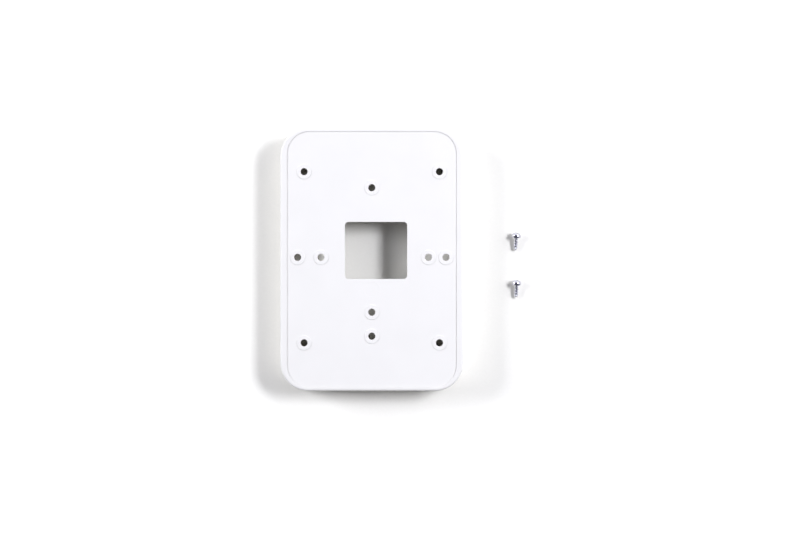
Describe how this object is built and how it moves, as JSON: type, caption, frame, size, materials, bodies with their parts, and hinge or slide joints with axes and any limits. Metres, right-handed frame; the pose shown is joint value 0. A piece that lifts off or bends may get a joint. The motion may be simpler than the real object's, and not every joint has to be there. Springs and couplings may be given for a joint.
{
  "type": "video doorbell back box",
  "caption": "Shallow white back box that stands a video doorbell off the wall: rounded skirt, recessed plate with ringed screw holes, cable window, and loose pan-head fixing screws.",
  "frame": {"origin": "on the wall plane (the table as it lies), under the middle of the whole kit of box and loose screws", "axes": "+X to the right and +Y up the wall as installed, +Z out of the wall towards the doorbell"},
  "size_m": [0.1363, 0.1476, 0.019],
  "materials": {
    "shell": "satin moulded white ABS",
    "plate": "fine matte moulded white ABS",
    "seal": "closed-cell black rubber",
    "zinc_steel": "zinc-plated steel",
    "bright_steel": "bright nickel-plated steel"
  },
  "bodies": {
    "box": {"housing": "shell", "mounting_plate": "plate", "wall_gasket": "seal", "plate_screw_1": "zinc_steel", "plate_screw_2": "zinc_steel", "plate_screw_3": "zinc_steel", "plate_screw_4": "zinc_steel"},
    "loose_screw_1": {"fixing_screw_1": "bright_steel"},
    "loose_screw_2": {"fixing_screw_2": "bright_steel"}
  },
  "joints": [
    {"name": "screw_1_lift", "type": "slide", "parent": "box", "child": "loose_screw_1", "axis": [0, 0, 1], "range_m": [0, 0.04]},
    {"name": "screw_2_lift", "type": "slide", "parent": "box", "child": "loose_screw_2", "axis": [0, 0, 1], "range_m": [0, 0.04]}
  ]
}
